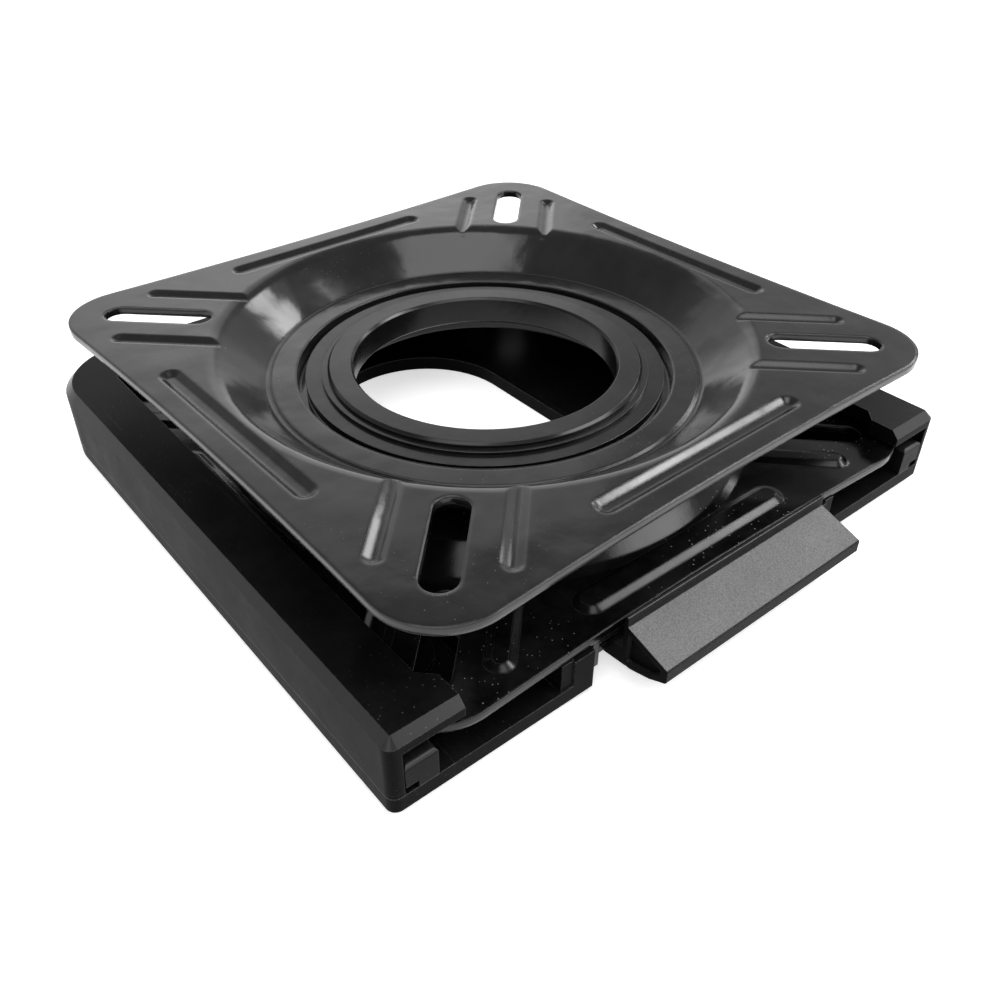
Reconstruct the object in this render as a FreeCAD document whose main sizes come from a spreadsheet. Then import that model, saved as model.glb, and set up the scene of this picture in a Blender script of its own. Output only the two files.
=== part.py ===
import FreeCAD, Part
import math
import os

import Sketcher

from FreeCAD import Placement, Rotation, Vector

# A swivel seat base: a seat bolts to the upper pressed plate, which turns on a ball race on
# the lower plate. The lower plate slides fore and aft in a moulded housing, and a lever at
# its front edge frees the slide lock.
# Row frame: millimetres, +Z up, the lever at the -Y side, the origin at the middle of the
# underside. Both plates come from one press tool: the lower one is laid upside down.

# Driving dimensions: alias, value and what it measures
SIZES = [
    ("plate_gap", "3.05", "room beside the lower plate"),
    ("rear_room", "6.1", "room behind the lower plate"),
    ("front_proud", "0.1", "front edge of the lower plate past the housing"),
    ("glide_room", "2.2", "room between the lower plate and the flange"),
    ("rear_corner_radius", "24", "rear corners of the housing in plan"),
    ("front_corner_radius", "2.5", "front corners of the housing in plan"),
    ("top_chamfer", "2.2", "outer top edge of the housing"),
    ("bottom_edge", "1.6", "bevel of the bottom edge of the tray"),
    ("side_wall", "3.4", "side and rear walls of the housing"),
    ("flange_thickness", "4.5", "top flange of the housing"),
    ("flange_cover", "9", "side flanges over the edge of the plate"),
    ("rear_reach", "13.3", "rear flange, from the inside of the rear wall"),
    ("flange_inner_radius", "6", "inner rear corners of the flange"),
    ("nose_step", "3.5", "flange noses, inwards from the side flanges"),
    ("nose_length", "9", "flange noses, front to back"),
    ("foot_ledge", "3.2", "ledge at the foot of the side walls"),
    ("foot_ledge_height", "1.8", "height of that ledge"),
    ("foot_ledge_setback", "4", "that ledge, back from the front face"),
    ("tray_height", "5.8", "lower tray, up to the seam"),
    ("tray_floor", "3", "floor of the tray"),
    ("front_bar_depth", "7.5", "bar along the front of the tray"),
    ("notch_half", "39.8", "half width of the notch for the lever"),
    ("notch_depth", "22.5", "depth of the notch"),
    ("block_width", "9.7", "stop blocks beside the notch"),
    ("block_gap", "0.9", "stop blocks below the lower plate"),
    ("post_width", "3.5", "taller outer post of a stop block"),
    ("post_gap", "0.3", "that post below the lower plate"),
    ("post_setback", "0.4", "that post, back from the front face"),
    ("opening_half", "30", "half width of the opening in the tray"),
    ("opening_reach", "27.7", "centre of its round ends from the middle"),
    ("opening_rim", "2", "rim around the opening"),
    ("rim_height", "1.5", "height of the rim above the floor"),
    ("bolt_inset", "13.5", "base bolts, inwards from the glide rails"),
    ("bolt_setback", "33.7", "base bolts, from the front and rear faces"),
    ("bolt_hole_radius", "3.3", "base bolt holes"),
    ("bolt_boss_radius", "8", "bosses around the base bolts"),
    ("rail_width", "8.3", "glide rails, across"),
    ("rail_end", "27.7", "glide rails, short of the rear face"),
    ("rail_round", "1.2", "rounded top edges of the glide rails"),
    ("seat_gap", "0.25", "clearance between seated mouldings"),
    ("slide_gap", "0.2", "clearance of the sliding plate"),
    ("upper_glide_width", "5.8", "upper glides, across"),
    ("upper_glide_front", "9.5", "upper glides, back from the front face"),
    ("plate_corner_radius", "17", "corners of the plates"),
    ("plate_bow", "2.4", "hollow of each plate side between its square corners"),
    ("plate_flare", "0.85", "square corners, past the plate's half width"),
    ("sheet_thickness", "2.2", "both plates"),
    ("bend_radius", "6", "rolled edge of the dish"),
    ("bend_chamfer", "1.2", "other bends of the sheet"),
    ("swivel_turn", "1.33", "upper plate turned on the swivel, degrees"),
    ("lower_plate_top", "16.4", "upper face of the lower plate"),
    ("dish_margin", "14.5", "from the edge of the dish to the plate sides"),
    ("dish_run", "12.6", "dish wall, measured level"),
    ("dish_depth", "10.3", "upper plate, down to the text ring"),
    ("dome_depth", "7.4", "lower plate, up to the ball track"),
    ("foot_groove", "0.5", "depth of the groove at the dish foot"),
    ("foot_groove_width", "1.3", "width of that groove"),
    ("ring_gap", "2.3", "gap around the clamp ring"),
    ("ring_flat", "7.2", "flat ring at the foot of the dish"),
    ("race_drop", "4.7", "race flange below the flat ring"),
    ("race_gap", "0.5", "race flange around the riser"),
    ("slot_width", "8.5", "bolt slots in the plate corners"),
    ("slot_length", "31.2", "bolt slots, end to end"),
    ("slot_margin", "16.36", "slots, from the square corner of the plate"),
    ("press_depth", "1.2", "depth of the ribs and beads"),
    ("press_slope", "32", "slope of their walls, degrees"),
    ("rib_offset", "14", "ribs from the middle of a slot"),
    ("rib_entry", "6.5", "ribs, past the edge of the dish"),
    ("rib_short", "7.5", "outer ends of the ribs, short of the slots"),
    ("rib_width", "5", "ribs beside the slots"),
    ("bead_margin", "10", "side beads, from the plate sides"),
    ("bead_end", "53.5", "ends of the side beads, from the plate sides"),
    ("bead_width", "6", "side beads"),
    ("ball_radius", "2.38", "bearing balls"),
    ("ball_count", "12", "bearing balls"),
    ("track_floor", "2", "flat floor of the ball tracks"),
    ("track_depth", "0.8", "depth of the ball tracks"),
    ("ball_gap", "0.12", "clearance of the balls"),
    ("cage_width", "5", "ball cage, across"),
    ("cage_thickness", "1.6", "ball cage"),
    ("riser_gap", "0.8", "riser around the rolled edge of the eyelet"),
    ("hub_gap", "0.2", "holes around the wall of the eyelet"),
    ("clamp_step", "4.5", "clamp ring, past the washer"),
    ("clamp_thickness", "2.2", "clamp ring"),
    ("washer_step", "1.8", "hub washer, past the flange of the eyelet"),
    ("washer_thickness", "0.9", "hub washer"),
    ("eyelet_reach", "4.8", "top flange of the eyelet, past its wall"),
    ("eyelet_flange", "1.5", "thickness of that flange"),
    ("eyelet_inner_radius", "37.6", "hole through the eyelet"),
    ("eyelet_wall", "2.4", "wall of the eyelet"),
    ("eyelet_curl", "1.8", "rolled lower edge of the eyelet"),
    ("eyelet_round", "0.7", "rounded edges of the eyelet"),
    ("uplift_thickness", "1.3", "plain ring under the clamp ring"),
    ("uplift_gap", "0.4", "race flange below that ring"),
    ("travel", "60", "slide travel"),
    ("lock_pitch", "10", "pitch of the lock positions"),
    ("bracket_sheet", "1.5", "plate of the lever bracket"),
    ("ear_thickness", "2", "ears of the bracket and lugs of the arm"),
    ("ear_bottom", "6", "lower edge of the bracket ears"),
    ("bracket_gap", "0.5", "bracket inside the notch"),
    ("arm_gap", "0.4", "lever arm inside the bracket"),
    ("bracket_in", "1.2", "bracket, back from the front face"),
    ("bracket_plate_depth", "20.5", "bracket plate, front to back"),
    ("tab_reach", "7.7", "stop tabs, outwards from the ears"),
    ("tab_bottom", "8", "lower edge of the stop tabs"),
    ("tab_gap", "0.7", "stop tabs below the lower plate"),
    ("stop_gap", "0.3", "clearance left at the stops"),
    ("pivot_in", "43.7", "lever pivot, back from the front face"),
    ("pivot_height", "10", "lever pivot above the underside"),
    ("pin_radius", "2", "lever pivot pin"),
    ("pin_gap", "0.05", "running clearance on the pin"),
    ("arm_bottom", "6", "lower face of the latch arm"),
    ("arm_sheet", "2", "latch arm"),
    ("arm_width", "3.9", "side bars of the latch arm"),
    ("arm_in", "3.7", "latch arm, back from the front face"),
    ("arm_cross_depth", "18", "cross plate, front to back"),
    ("lug_half", "4", "half length of the pivot lugs"),
    ("lug_gap", "0.3", "pivot lugs below the bracket plate"),
    ("finger_in", "73.7", "latch fingers, back from the front face"),
    ("finger_width", "4", "latch fingers"),
    ("finger_thickness", "3.2", "latch fingers, sideways"),
    ("finger_top", "10.4", "top of the latch fingers"),
    ("rack_inner", "51", "inner edge of the lock racks"),
    ("rack_width", "8", "lock racks"),
    ("rack_bottom", "9", "lower face of the lock racks"),
    ("rack_sheet", "1.8", "lock racks"),
    ("rack_end", "8", "rack past its last notch"),
    ("notch_gap", "0.3", "clearance of a finger in its notch"),
    ("rack_wall", "3", "wall that carries a rack"),
    ("tongue_in", "3.4", "left end of the arm tongue, inwards from the handle"),
    ("tongue_out", "9.3", "arm tongue, out from the front face"),
    ("handle_left_in", "8.4", "left end of the handle, inwards from the notch"),
    ("handle_right_out", "1.1", "its right end, out past the notch"),
    ("handle_tail_in", "3.3", "right end of its tail, inwards from the notch"),
    ("handle_out", "14.2", "front lip of the handle, out from the front face"),
    ("lip_top", "12.1", "top of the front lip"),
    ("lip_bottom", "8.4", "bottom of the front lip"),
    ("root_out", "1.5", "back of the sloping face, out from the front face"),
    ("root_height", "16.2", "top of the sloping face"),
    ("ridge_thickness", "1.1", "ridge behind the sloping face"),
    ("ridge_top", "18.9", "top of the ridge"),
    ("tail_in", "7.2", "rear end of the handle, back from the front face"),
    ("tail_top", "8.6", "top of the handle under the plate"),
    ("tail_bottom", "3.4", "bottom of the handle at its rear end"),
    ("belly_front_out", "9.3", "front of the belly, out from the front face"),
    ("belly_height", "6", "belly there"),
    ("belly_back_out", "3.3", "middle of the belly, out from the front face"),
    ("belly_low", "4.3", "belly there"),
    ("handle_round", "0.7", "rounded edges of the handle"),
    ("cheek_rim", "1.3", "rim around the recess in each cheek of the handle"),
    ("cheek_depth", "1.4", "depth of that recess"),
    ("tongue_room", "0.1", "clearance of the arm in the handle"),
    ("handle_screw_half", "20", "handle screws from the handle's middle"),
    ("handle_screw_out", "2.05", "handle screws, out from the front face"),
    ("handle_screw_wall", "0.6", "wall between their heads and the arm"),
    ("handle_screw_bite", "2.6", "their reach above the arm"),
    ("spring_leaf", "0.6", "leaf of the return spring"),
    ("spring_width", "14", "return spring"),
    ("spring_in", "1", "free end of the return spring, behind the handle"),
    ("spring_length", "12", "return spring, front to back"),
    ("screw_radius", "1.5", "shanks of the small screws"),
    ("screw_head_radius", "3", "heads of the small screws"),
    ("screw_head_height", "1.6", "heads of the small screws"),
    ("screw_gap", "0.1", "clearance around a shank"),
    ("screw_length", "10", "tray screws"),
    ("rack_screw_length", "5", "rack screws"),
    ("rack_screw_radius", "0.9", "rack screws"),
    ("rack_screw_head", "0.9", "height of their heads"),
    ("rack_screw_inset", "6", "outer rack screws, from the ends of a rack"),
    ("rail_screw_inset", "16", "first screw of a glide rail, from the front face"),
    ("rail_screw_end", "8", "last screw of a glide rail, from its rear end"),
    ("screw_post_radius", "2.7", "screw posts at the rear wall"),
    ("rear_screw_half", "55", "rear screws from the middle"),
    ("buffer_half", "34", "rear buffers from the middle"),
    ("buffer_width", "12", "rear buffers"),
    ("buffer_lap", "1.4", "rear buffers, past the faces of the lower plate"),
]


class Size:
    """A length that knows its number and the expression that gives it from the sheet."""

    def __init__(self, number, words):
        self.number = float(number)
        self.words = words

    def joined(self, other, sign, number):
        return Size(number, f"({self.words} {sign} {as_size(other).words})")

    def __add__(self, other):
        return self.joined(other, "+", self.number + as_size(other).number)

    def __radd__(self, other):
        return as_size(other) + self

    def __sub__(self, other):
        return self.joined(other, "-", self.number - as_size(other).number)

    def __rsub__(self, other):
        return as_size(other) - self

    def __mul__(self, other):
        return self.joined(other, "*", self.number * as_size(other).number)

    def __rmul__(self, other):
        return as_size(other) * self

    def __truediv__(self, other):
        return self.joined(other, "/", self.number / as_size(other).number)

    def __neg__(self):
        return Size(-self.number, f"(0 - {self.words})")


def as_size(value):
    return value if isinstance(value, Size) else Size(value, repr(float(value)))


def tangent(angle):
    return Size(math.tan(math.radians(angle.number)), f"tan({angle.words} * 1deg)")


def root(value):
    return Size(math.sqrt(value.number), f"sqrt({value.words})")


def sine(angle):
    return Size(math.sin(math.radians(angle.number)), f"sin({angle.words} * 1deg)")


def cosine(angle):
    return Size(math.cos(math.radians(angle.number)), f"cos({angle.words} * 1deg)")


doc = FreeCAD.newDocument("swivel_seat_base")
sheet = doc.addObject("Spreadsheet::Sheet", "Sizes")
for row, (alias, text, note) in enumerate(SIZES, start=1):
    sheet.set(f"A{row}", note)
    sheet.set(f"B{row}", text)
    sheet.setAlias(f"B{row}", alias)
doc.recompute()
named = {alias: Size(float(text), f"Sizes.{alias}") for alias, text, note in SIZES}


def size(alias):
    return named[alias]


def derive(alias, value):
    """Names a size that follows from the driving ones."""
    named[alias] = value


# The hub, from its hole outwards
derive("eyelet_outer_radius", size("eyelet_inner_radius") + size("eyelet_wall"))
derive("hub_hole_radius", size("eyelet_outer_radius") + size("hub_gap"))
derive("curl_radius", size("eyelet_outer_radius") + size("eyelet_wall") + size("eyelet_curl"))
derive("eyelet_flange_radius", size("eyelet_outer_radius") + size("eyelet_reach"))
derive("washer_radius", size("eyelet_flange_radius") + size("washer_step"))
derive("clamp_radius", size("washer_radius") + size("clamp_step"))
derive("riser_radius", size("curl_radius") + size("riser_gap") + size("sheet_thickness"))
derive("race_inner_radius", size("riser_radius") + size("race_gap"))
derive("ring_inner_radius", size("clamp_radius") + size("ring_gap"))
derive("track_radius", (size("race_inner_radius") + size("ring_inner_radius")) / 2)

# The plates, from the ring outwards
derive("foot_radius", size("ring_inner_radius") + size("ring_flat") + size("foot_groove_width"))
derive("dish_edge_radius", size("foot_radius") + size("dish_run"))
derive("dish_grade", (size("dish_depth") + size("foot_groove")) / size("dish_run"))
derive("dish_shift", (root(size("dish_grade") * size("dish_grade") + 1) - 1) / size("dish_grade"))
derive("plate_half", size("dish_edge_radius") + size("dish_margin"))
derive("corner_reach", size("plate_half") * root(as_size(2)))
derive("slot_outer", size("corner_reach") - size("slot_margin"))
derive("slot_inner", size("slot_outer") - size("slot_length"))
derive("rib_outer", size("slot_outer") - size("rib_short"))
derive("rib_inner", size("dish_edge_radius") - size("rib_entry"))
derive("bead_offset", size("plate_half") - size("bead_margin"))
derive("bead_half", size("plate_half") - size("bead_end"))

# The housing around the lower plate, and where the axis stands in it
derive("half_width", size("plate_half") + size("plate_gap") + size("side_wall"))
derive("base_depth", size("plate_half") * 2 + size("rear_room") + size("side_wall") - size("front_proud"))
derive("half_depth", size("base_depth") / 2)
derive("axis_y", size("plate_half") - size("half_depth") - size("front_proud"))
derive("wall_inner", size("half_width") - size("side_wall"))
derive("rear_inner", size("half_depth") - size("side_wall"))
derive("flange_inner", size("plate_half") - size("flange_cover"))
derive("nose_inner", size("flange_inner") - size("nose_step"))
derive("rear_flange_edge", size("rear_inner") - size("rear_reach"))
derive("rail_outer", size("wall_inner") - size("seat_gap"))
derive("rail_inner", size("rail_outer") - size("rail_width"))
derive("rail_rear", size("half_depth") - size("rail_end"))
derive("upper_glide_inner", size("rail_outer") - size("upper_glide_width"))
derive("bolt_half_x", size("rail_inner") - size("bolt_inset"))
derive("bolt_half_y", size("half_depth") - size("bolt_setback"))

# Heights, from the lower plate up
derive("plate_under", size("lower_plate_top") - size("sheet_thickness"))
derive("flange_under", size("lower_plate_top") + size("glide_room"))
derive("base_height", size("flange_under") + size("flange_thickness"))
derive("track_top", size("lower_plate_top") + size("dome_depth"))
derive("ball_room", (size("ball_radius") - size("track_depth") + size("ball_gap")) * 2)
derive("race_under", size("track_top") + size("ball_room"))
derive("race_top", size("race_under") + size("sheet_thickness"))
derive("upper_plate_top", size("race_top") + size("race_drop") + size("dish_depth"))
derive("hub_ledge", size("race_top") + size("uplift_gap") + size("uplift_thickness"))
derive("rail_top", size("plate_under") - size("slide_gap"))
derive("block_top", size("plate_under") - size("block_gap"))
derive("post_top", size("plate_under") - size("post_gap"))
derive("tab_top", size("plate_under") - size("tab_gap"))
derive("bracket_under", size("plate_under") - size("bracket_sheet"))
derive("lug_top", size("bracket_under") - size("lug_gap"))

# The lever and its latch, from the front face
derive("handle_left", size("notch_half") - size("handle_left_in"))
derive("handle_right", size("notch_half") + size("handle_right_out"))
derive("handle_tail_right", size("notch_half") - size("handle_tail_in"))
derive("tongue_left", size("handle_left") - size("tongue_in"))
derive("tongue_right", size("handle_tail_right"))
derive("bracket_front", size("half_depth") - size("bracket_in"))
derive("pivot_back", size("half_depth") - size("pivot_in"))
derive("arm_front", size("half_depth") - size("arm_in"))
derive("finger_back", size("half_depth") - size("finger_in"))
derive("tongue_front", size("half_depth") + size("tongue_out"))
derive("handle_front", size("half_depth") + size("handle_out"))
derive("handle_root", size("half_depth") + size("root_out"))
derive("tail_back", size("half_depth") - size("tail_in"))
derive("belly_front", size("half_depth") + size("belly_front_out"))
derive("belly_back", size("half_depth") + size("belly_back_out"))
derive("spring_front", size("tail_back") - size("spring_in"))
derive("spring_fold", size("spring_front") - size("spring_length"))


def bind(thing, place, value):
    """Sets a property or a constraint from the sheet."""
    thing.setExpression(place, as_size(value).words)


# Sketches and features

def new_body(name):
    body = doc.addObject("PartDesign::Body", name)
    body.Label = name
    return body


def origin_part(body, role):
    return next(part for part in body.Origin.OriginFeatures if part.Role == role)


def new_sketch(body, name, plane="XY_Plane", height=0, turn=0):
    """A sketch on one of the body's own origin planes, lifted and turned about its normal."""
    sketch = body.newObject("Sketcher::SketchObject", name)
    sketch.AttachmentSupport = [(origin_part(body, plane), "")]
    sketch.MapMode = "FlatFace"
    lift = as_size(height)
    sketch.AttachmentOffset = Placement(Vector(0, 0, lift.number), Rotation(Vector(0, 0, 1), turn))
    if lift.number:
        bind(sketch, "AttachmentOffset.Base.z", lift)
    return sketch


def hold_point(sketch, line, end, x, y):
    """Ties one point of the sketch to its two distances from the origin."""
    for kind, value in (("DistanceX", as_size(x)), ("DistanceY", as_size(y))):
        index = sketch.addConstraint(Sketcher.Constraint(kind, -1, 1, line, end, value.number))
        bind(sketch, f"Constraints[{index}]", value)


def point(x, y):
    return Vector(as_size(x).number, as_size(y).number, 0)


def draw_polygon(sketch, corners):
    first = sketch.GeometryCount
    count = len(corners)
    for n, corner in enumerate(corners):
        following = corners[(n + 1) % count]
        sketch.addGeometry(Part.LineSegment(point(*corner), point(*following)), False)
    for n, corner in enumerate(corners):
        sketch.addConstraint(Sketcher.Constraint("Coincident", first + n, 2, first + (n + 1) % count, 1))
        hold_point(sketch, first + n, 1, *corner)


def draw_rectangle(sketch, x_low, x_high, y_low, y_high):
    draw_polygon(sketch, [(x_low, y_low), (x_high, y_low), (x_high, y_high), (x_low, y_high)])


def draw_circle(sketch, x, y, radius):
    radius = as_size(radius)
    index = sketch.addGeometry(Part.Circle(point(x, y), Vector(0, 0, 1), radius.number), False)
    hold_point(sketch, index, 3, x, y)
    held = sketch.addConstraint(Sketcher.Constraint("Radius", index, radius.number))
    bind(sketch, f"Constraints[{held}]", radius)


def half_circle(centre, radius, start_angle):
    """Half of a circle, anticlockwise from an angle in degrees."""
    whole = Part.Circle(centre, Vector(0, 0, 1), radius.number)
    return Part.ArcOfCircle(whole, math.radians(start_angle), math.radians(start_angle + 180))


def draw_slot(sketch, start, end, radius, along_y=False):
    """An obround between two end centres, each an (x, y) pair on one line."""
    half = as_size(radius)
    turn = 90 if along_y else 0
    side = Vector(-math.sin(math.radians(turn)), math.cos(math.radians(turn)), 0) * half.number
    a, b = point(*start), point(*end)
    lower = sketch.addGeometry(Part.LineSegment(a - side, b - side), False)
    far_end = sketch.addGeometry(half_circle(b, half, turn - 90), False)
    upper = sketch.addGeometry(Part.LineSegment(b + side, a + side), False)
    near_end = sketch.addGeometry(half_circle(a, half, turn + 90), False)
    chain = [lower, far_end, upper, near_end]
    for n, line in enumerate(chain):
        sketch.addConstraint(Sketcher.Constraint("Tangent", line, 2, chain[(n + 1) % 4], 1))
    for arc, centre in ((far_end, end), (near_end, start)):
        hold_point(sketch, arc, 3, *centre)
        held = sketch.addConstraint(Sketcher.Constraint("Radius", arc, half.number))
        bind(sketch, f"Constraints[{held}]", half)


def check_change(body, before, grows, name):
    """A pad that adds nothing or a pocket that cuts nothing is an error."""
    doc.recompute()
    after = body.Shape.Volume
    changed = after > before if grows else after < before
    if not changed:
        raise RuntimeError(f"{name} changes nothing: {before} to {after}")


def volume_of(body):
    doc.recompute()
    return body.Shape.Volume if body.Tip is not None and not body.Shape.isNull() else 0.0


def pad(body, sketch, name, length, down=False, taper=None):
    before = volume_of(body)
    feature = body.newObject("PartDesign::Pad", name)
    feature.Profile = sketch
    feature.Reversed = down
    bind(feature, "Length", length)
    if taper is not None:
        bind(feature, "TaperAngle", taper)
    check_change(body, before, True, name)
    return feature


def pocket(body, sketch, name, depth=None, up=False, taper=None):
    """Cuts down from the sketch, or up, to a depth or through everything."""
    before = volume_of(body)
    feature = body.newObject("PartDesign::Pocket", name)
    feature.Profile = sketch
    feature.Reversed = up
    if depth is None:
        feature.Type = "ThroughAll"
    else:
        bind(feature, "Length", depth)
    if taper is not None:
        bind(feature, "TaperAngle", taper)
    check_change(body, before, False, name)
    return feature


def revolve(body, sketch, name):
    feature = body.newObject("PartDesign::Revolution", name)
    feature.Profile = sketch
    feature.ReferenceAxis = (sketch, ["V_Axis"])
    feature.Angle = 360
    doc.recompute()
    return feature


def around_axis(body, features, name, count):
    pattern = body.newObject("PartDesign::PolarPattern", name)
    pattern.Originals = features
    pattern.Axis = (origin_part(body, "Z_Axis"), [""])
    pattern.Angle = 360
    pattern.Occurrences = count
    body.Tip = pattern
    doc.recompute()
    return pattern


def mirrored(body, features, name):
    """Repeats features on the other side of the middle plane."""
    mirror = body.newObject("PartDesign::Mirrored", name)
    mirror.Originals = features
    mirror.MirrorPlane = (origin_part(body, "YZ_Plane"), [""])
    body.Tip = mirror
    doc.recompute()
    return mirror


def edges_where(shape, chosen):
    return [f"Edge{n}" for n, edge in enumerate(shape.Edges, start=1) if chosen(edge)]


def dress(body, kind, name, amount, chosen):
    """A fillet or chamfer on the edges of the tip that the test chooses."""
    doc.recompute()
    base = body.Tip
    names = edges_where(base.Shape, chosen)
    if not names:
        raise RuntimeError(f"{name} finds no edges")
    feature = body.newObject(f"PartDesign::{kind}", name)
    feature.Base = (base, names)
    bind(feature, "Radius" if kind == "Fillet" else "Size", amount)
    doc.recompute()
    return feature


def upright(edge):
    box = edge.BoundBox
    return box.XLength < 0.01 and box.YLength < 0.01 and box.ZLength > 0.1


def level_at(edge, height):
    box = edge.BoundBox
    return abs(box.ZMin - height) < 0.01 and abs(box.ZMax - height) < 0.01


def near(value, target, reach=0.02):
    return abs(value - target) < reach


# Plain primitives

def place(thing, x=0, y=0, z=0):
    for axis, value in (("x", x), ("y", y), ("z", z)):
        bind(thing, f"Placement.Base.{axis}", as_size(value))


def box(name, x_span, y_span, z_span):
    thing = doc.addObject("Part::Box", name)
    spans = [(as_size(low), as_size(high)) for low, high in (x_span, y_span, z_span)]
    for side, (low, high) in zip(("Length", "Width", "Height"), spans):
        bind(thing, side, high - low)
    place(thing, *(low for low, high in spans))
    return thing


def cylinder(name, radius, length, x=0, y=0, z=0, along_x=False):
    thing = doc.addObject("Part::Cylinder", name)
    bind(thing, "Radius", radius)
    bind(thing, "Height", length)
    if along_x:
        thing.Placement = Placement(Vector(), Rotation(Vector(0, 1, 0), 90))
    place(thing, x, y, z)
    return thing


def fuse(name, things):
    joined = doc.addObject("Part::MultiFuse", name)
    joined.Shapes = things
    return joined


def cut(name, base, tool):
    taken = doc.addObject("Part::Cut", name)
    taken.Base = base
    taken.Tool = tool
    return taken


def grouped(name, things):
    """Separate solids that share one node."""
    group = doc.addObject("Part::Compound", name)
    group.Links = things
    return group


def between(side, inner, outer):
    """The span from inner to outer on one side of the middle, side being 1 or -1."""
    return (inner, outer) if side > 0 else (-as_size(outer), -as_size(inner))


SIDES = (("left", -1), ("right", 1))

# Levels and places that several pieces share
half_width = size("half_width")
half_depth = size("half_depth")
front = -half_depth
tray_top = size("tray_height")
flange_under = size("flange_under")
wall_inner = size("wall_inner")
rear_inner = size("rear_inner")
bar_back = front + size("front_bar_depth")
axis_y = size("axis_y")
plate_under = size("plate_under")
bracket_under = size("bracket_under")
track_top = size("track_top")
race_under = size("race_under")
clamp_under = size("hub_ledge")
washer_under = clamp_under + size("clamp_thickness")
eyelet_under = washer_under + size("washer_thickness")
eyelet_top = eyelet_under + size("eyelet_flange")
ear_outer = size("notch_half") - size("bracket_gap")
ear_inner = ear_outer - size("ear_thickness")
arm_outer = ear_inner - size("arm_gap")
arm_top = size("arm_bottom") + size("arm_sheet")
pivot_y = -size("pivot_back")
finger_y = -size("finger_back")
finger_outer = size("rack_inner") + size("finger_thickness") + size("notch_gap")
tab_front = bar_back + size("travel") + size("stop_gap")
rack_front = finger_y - size("travel") - size("finger_width") / 2 - size("notch_gap") - 2
rack_back = finger_y + size("rack_end")
lever_middle = (size("tongue_right") - size("tongue_left")) / 2
lock_count = int(round(size("travel").number / size("lock_pitch").number)) + 1


# The plates

def draw_plate_outline(sketch):
    """Four hollow sides between sharp corners, inside a circle that holds the whole sheet."""
    reach = size("plate_half") + size("plate_flare")
    hollow = size("plate_bow")
    radius = (reach * reach + hollow * hollow) / (hollow * 2)
    corners = [(reach, -reach), (reach, reach), (-reach, reach), (-reach, -reach)]
    middles = [(reach - hollow, 0), (0, reach - hollow), (-reach + hollow, 0), (0, -reach + hollow)]
    first = sketch.GeometryCount
    for n in range(4):
        side = Part.Arc(point(*corners[n]), point(*middles[n]), point(*corners[(n + 1) % 4]))
        sketch.addGeometry(side, False)
    for n in range(4):
        start = start_of(sketch, first + n, corners[n])
        other = 3 - start
        after = first + (n + 1) % 4
        after_start = start_of(sketch, after, corners[(n + 1) % 4])
        sketch.addConstraint(Sketcher.Constraint("Coincident", first + n, other, after, after_start))
        hold_point(sketch, first + n, start, *corners[n])
        held = sketch.addConstraint(Sketcher.Constraint("Radius", first + n, radius.number))
        bind(sketch, f"Constraints[{held}]", radius)
    draw_circle(sketch, 0, 0, reach * 2)


def start_of(sketch, line, corner):
    """Which end of a sketch line, 1 or 2, lies at a corner."""
    return 1 if sketch.getPoint(line, 1).distanceToPoint(point(*corner)) < 0.01 else 2


def sheet_profile(depth, inner):
    """The sheet's section from beyond the corners to the foot of the dish, then the inner points.

    inner holds the points of the upper side from the flat ring inwards, then of the lower side
    back out. Radii are measured from the swivel axis and heights from the mounting face.
    """
    sheet_t = size("sheet_thickness")
    rim = size("plate_half") * 1.6
    edge = size("dish_edge_radius")
    shift = sheet_t * size("dish_shift")
    foot = foot_of(depth)
    upper = [(rim, 0), (edge, 0), (foot, -depth)]
    lower = [(foot + shift, -depth - sheet_t), (edge + shift, -sheet_t), (rim, -sheet_t)]
    return upper + inner + lower


def foot_of(depth):
    """Radius where the dish wall reaches a depth."""
    return size("dish_edge_radius") - depth / size("dish_grade")


def bend_picker(radii, heights):
    """A test for circular edges about the axis of the dish, by radius and height."""
    wanted = [(as_size(r).number, as_size(h).number) for r, h in zip(radii, heights)]

    def is_bend(edge):
        if edge.Curve.TypeId != "Part::GeomCircle":
            return False
        radius, height = edge.Curve.Radius, edge.Curve.Center.z
        return any(near(radius, r) and near(height, h) for r, h in wanted)

    return is_bend


def round_bends(body, name, depth, grooved):
    """Breaks the bends of the sheet. A dish with a groove at its foot stays sharp there, and
    its upper edge is rolled."""
    sheet_t = size("sheet_thickness")
    shift = sheet_t * size("dish_shift")
    edge = size("dish_edge_radius")
    foot = foot_of(depth)
    radii, heights = [edge + shift, foot + shift], [-sheet_t, -depth - sheet_t]
    if grooved:
        dress(body, "Fillet", f"{name}_rolled_edge", size("bend_radius"), bend_picker([edge], [0]))
    else:
        radii, heights = radii + [edge, foot], heights + [0, -depth]
    dress(body, "Chamfer", f"{name}_bends", size("bend_chamfer"), bend_picker(radii, heights))


def press_plate(name, depth, inner, grooved=False):
    """One plate of the press tool: dish, outline, slots, ribs and beads."""
    body = new_body(name)
    section = new_sketch(body, f"{name}_section", "XZ_Plane")
    draw_polygon(section, sheet_profile(depth, inner))
    revolve(body, section, f"{name}_dish")
    round_bends(body, name, depth, grooved)
    outline = new_sketch(body, f"{name}_outline", height=size("press_depth"))
    draw_plate_outline(outline)
    pocket(body, outline, f"{name}_trim")
    dress(body, "Fillet", f"{name}_corners", size("plate_corner_radius"), is_plate_corner)
    press_ribs(body, name)
    press_beads(body, name)
    half = size("slot_width") / 2
    slots = new_sketch(body, f"{name}_slot", turn=45)
    draw_slot(slots, (size("slot_inner") + half, 0), (size("slot_outer") - half, 0), half)
    hole = pocket(body, slots, f"{name}_slot_cut")
    around_axis(body, [hole], f"{name}_slots", 4)
    return body


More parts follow.
